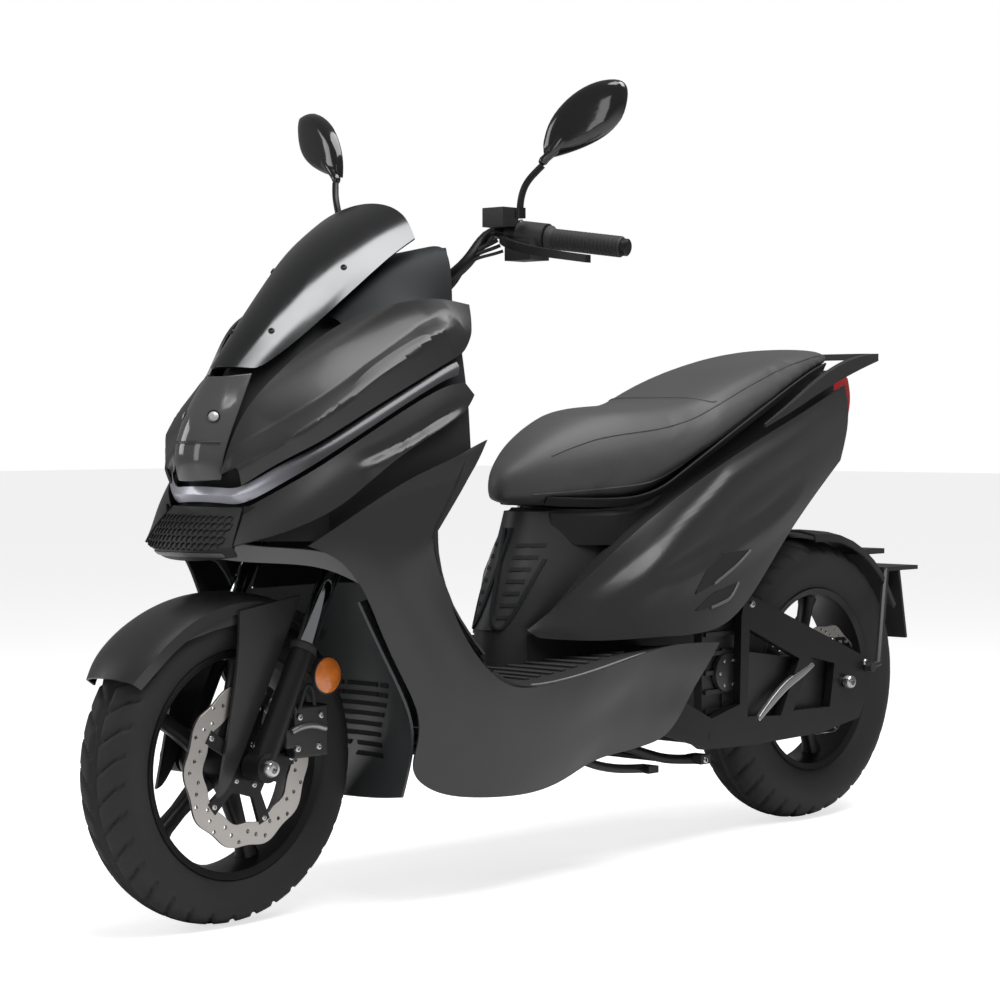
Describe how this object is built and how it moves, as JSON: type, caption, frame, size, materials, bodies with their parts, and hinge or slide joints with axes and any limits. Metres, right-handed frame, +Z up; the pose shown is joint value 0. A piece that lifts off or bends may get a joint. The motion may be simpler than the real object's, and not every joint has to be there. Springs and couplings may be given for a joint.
{
  "type": "moped scooter",
  "caption": "Step-through moped scooter with a stepped seat, tall smoked screen, layered fairing, swing arm and folding stands.",
  "frame": {"origin": "on the ground, under the middle of the overall width and length", "axes": "+Z up, +Y to the rear of the machine, +X to the rider's left"},
  "size_m": [0.7316, 2.013, 1.274],
  "materials": {
    "bodywork": "satin graphite paint over moulded plastic",
    "dark_plastic": "grained black plastic",
    "gloss_black": "polished black",
    "smoked_screen": "polished smoked polycarbonate",
    "clear_lens": "polished clear cover over the lamp",
    "red_lens": "polished red",
    "silver_trim": "satin silver paint",
    "chrome": "hard chrome, polished",
    "steel": "ground steel",
    "black_metal": "satin black powder coat",
    "cast_alloy": "cast, dark grey",
    "rubber": "moulded",
    "tyre": "matt tread",
    "seat_vinyl": "matt grained vinyl"
  },
  "bodies": {
    "chassis": {"main_frame": "black_metal", "battery_pack": "dark_plastic", "controller": "cast_alloy", "upper_fairing_left": "bodywork", "upper_fairing_right": "bodywork", "mid_fairing_left": "bodywork", "mid_fairing_right": "bodywork", "leg_shield_left": "bodywork", "leg_shield_right": "bodywork", "light_bar": "silver_trim", "nose_grille": "dark_plastic", "headlight": "clear_lens", "windscreen": "smoked_screen", "dash_hood": "dark_plastic", "display": "gloss_black", "inner_leg_shield": "dark_plastic", "lower_cowl": "dark_plastic", "floorboard": "dark_plastic", "under_seat_panel": "dark_plastic", "tail_fairing_left": "bodywork", "tail_fairing_right": "bodywork", "tail_light": "red_lens", "grab_rail": "dark_plastic"},
    "steering": {"steering_stem": "black_metal", "fork_tube_left": "chrome", "fork_tube_right": "chrome", "handlebar": "black_metal", "left_grip": "rubber", "left_control_pod": "dark_plastic", "right_control_pod": "dark_plastic"},
    "fork_lower": {"fork_leg_left": "black_metal", "fork_leg_right": "black_metal", "front_axle": "steel", "front_fender": "bodywork", "front_caliper": "cast_alloy"},
    "front_wheel": {"front_tyre": "tyre", "front_rim": "black_metal", "front_brake_disc": "steel"},
    "throttle": {"throttle_grip": "rubber"},
    "left_lever": {"left_brake_lever": "cast_alloy"},
    "right_lever": {"right_brake_lever": "cast_alloy"},
    "left_mirror_stalk": {"left_mirror_arm": "black_metal"},
    "left_mirror": {"left_mirror_head": "gloss_black"},
    "right_mirror_stalk": {"right_mirror_arm": "black_metal"},
    "right_mirror": {"right_mirror_head": "gloss_black"},
    "horn": {"horn_button": "red_lens"},
    "turn_signal": {"turn_switch": "dark_plastic"},
    "start": {"start_button": "red_lens"},
    "ignition": {"ignition_knob": "dark_plastic"},
    "seat_base": {"seat": "seat_vinyl"},
    "swing": {"swing_arm": "black_metal", "motor_housing": "cast_alloy", "rear_hugger": "dark_plastic", "rear_axle": "steel"},
    "rear_wheel": {"rear_tyre": "tyre", "rear_rim": "black_metal"},
    "shock_upper": {"shock_body": "cast_alloy"},
    "shock_lower": {"shock_rod": "chrome"},
    "side_prop": {"side_stand": "black_metal"},
    "centre_prop": {"centre_stand": "black_metal"}
  },
  "joints": [
    {"name": "steering_turn", "type": "hinge", "parent": "chassis", "child": "steering", "pos_m": [0, -0.7275, 0.24], "axis": [0, 0.454, 0.891], "range_deg": [-38, 38]},
    {"name": "fork_travel", "type": "slide", "parent": "steering", "child": "fork_lower", "axis": [0, 0.454, 0.891], "range_m": [-0.01, 0.07], "stiffness_N_per_m": 16000},
    {"name": "front_wheel_spin", "type": "hinge", "parent": "fork_lower", "child": "front_wheel", "pos_m": [0, -0.7665, 0.24], "axis": [1, 0, 0], "continuous": true},
    {"name": "throttle_twist", "type": "hinge", "parent": "steering", "child": "throttle", "pos_m": [-0.22, -0.2815, 1.034], "axis": [-0.964, 0.2299, -0.1335], "range_deg": [0, 70]},
    {"name": "left_brake_pull", "type": "hinge", "parent": "steering", "child": "left_lever", "pos_m": [0.172, -0.3235, 1.034], "axis": [0.2021, -0.3091, 0.9293], "range_deg": [0, 13]},
    {"name": "right_brake_pull", "type": "hinge", "parent": "steering", "child": "right_lever", "pos_m": [-0.172, -0.3235, 1.034], "axis": [0.2021, 0.3091, -0.9293], "range_deg": [0, 13]},
    {"name": "left_mirror_swing", "type": "hinge", "parent": "steering", "child": "left_mirror_stalk", "pos_m": [0.199, -0.3165, 1.07], "axis": [0, 0, 1], "range_deg": [-28, 28]},
    {"name": "left_mirror_tilt", "type": "hinge", "parent": "left_mirror_stalk", "child": "left_mirror", "pos_m": [0.231, -0.2985, 1.152], "axis": [1, 0, 0], "range_deg": [-14, 14]},
    {"name": "right_mirror_swing", "type": "hinge", "parent": "steering", "child": "right_mirror_stalk", "pos_m": [-0.199, -0.3165, 1.07], "axis": [0, 0, 1], "range_deg": [-28, 28]},
    {"name": "right_mirror_tilt", "type": "hinge", "parent": "right_mirror_stalk", "child": "right_mirror", "pos_m": [-0.231, -0.2985, 1.152], "axis": [1, 0, 0], "range_deg": [-14, 14]},
    {"name": "horn_press", "type": "slide", "parent": "steering", "child": "horn", "axis": [0.232, -0.9727, 0], "range_m": [0, 0.0025], "stiffness_N_per_m": 400},
    {"name": "turn_slide", "type": "slide", "parent": "steering", "child": "turn_signal", "axis": [0.964, 0.2299, -0.1335], "range_m": [-0.003, 0.003]},
    {"name": "start_press", "type": "slide", "parent": "steering", "child": "start", "axis": [-0.232, -0.9727, 0], "range_m": [0, 0.0025], "stiffness_N_per_m": 400},
    {"name": "ignition_turn", "type": "hinge", "parent": "chassis", "child": "ignition", "pos_m": [-0.062, -0.3385, 0.77], "axis": [0, 1, 0], "range_deg": [0, 90]},
    {"name": "seat_lift", "type": "hinge", "parent": "chassis", "child": "seat_base", "pos_m": [0, -0.1555, 0.612], "axis": [1, 0, 0], "range_deg": [0, 55]},
    {"name": "swing_travel", "type": "hinge", "parent": "chassis", "child": "swing", "pos_m": [0, 0.2565, 0.2], "axis": [1, 0, 0], "range_deg": [-1.7, 7.4], "stiffness_Nm_per_rad": 9000},
    {"name": "rear_wheel_spin", "type": "hinge", "parent": "swing", "child": "rear_wheel", "pos_m": [0, 0.6795, 0.264], "axis": [1, 0, 0], "continuous": true},
    {"name": "shock_pivot", "type": "hinge", "parent": "chassis", "child": "shock_upper", "pos_m": [0, 0.2565, 0.612], "axis": [1, 0, 0], "range_deg": [-7, 2]},
    {"name": "shock_stroke", "type": "slide", "parent": "shock_upper", "child": "shock_lower", "axis": [0, -0.3333, 0.9428], "range_m": [-0.005, 0.019]},
    {"name": "side_stand_swing", "type": "hinge", "parent": "chassis", "child": "side_prop", "pos_m": [0.15, -0.1385, 0.205], "axis": [1, 0, 0], "range_deg": [-100, 0]},
    {"name": "centre_stand_swing", "type": "hinge", "parent": "chassis", "child": "centre_prop", "pos_m": [0, 0.0565, 0.205], "axis": [1, 0, 0], "range_deg": [-85, 0]}
  ],
  "couplings": [
    {"joint": "shock_pivot", "follows": "swing_travel", "ratio": -0.8496},
    {"joint": "shock_stroke", "follows": "swing_travel", "m_per_rad": 0.1373}
  ]
}
